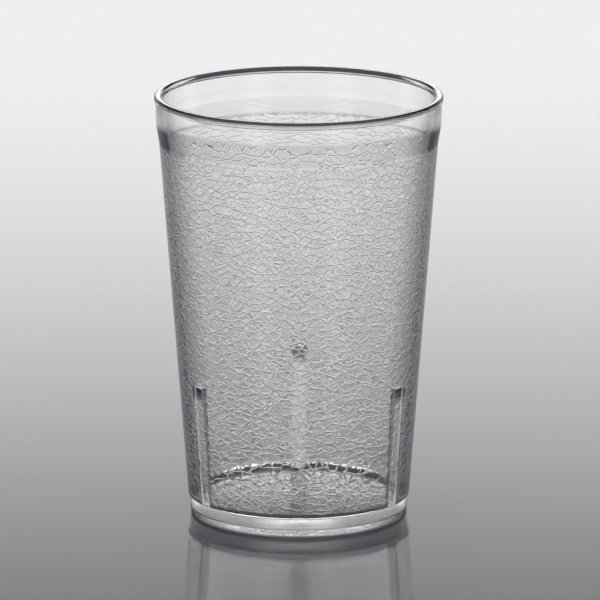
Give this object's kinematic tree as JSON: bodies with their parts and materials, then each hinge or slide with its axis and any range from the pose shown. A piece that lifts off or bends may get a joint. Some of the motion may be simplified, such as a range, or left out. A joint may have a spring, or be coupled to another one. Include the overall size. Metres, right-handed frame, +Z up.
{
  "type": "plastic tumbler",
  "caption": "Clear plastic stacking tumbler: tapered wall with a grained outside, smooth flared rim band with a rounded lip, smooth foot band and stacking ribs inside.",
  "frame": {"origin": "centre of the foot, in the plane of the table that the cup stands on", "axes": "+Z up along the cup's axis to its mouth; one inside rib at +Y, the other two 60 degrees each side of -Y"},
  "size_m": [0.07, 0.07, 0.104],
  "materials": {
    "clear_plastic": "clear, polished, outside wall finely grained"
  },
  "bodies": {
    "root": {"tumbler": "clear_plastic"}
  },
  "joints": []
}
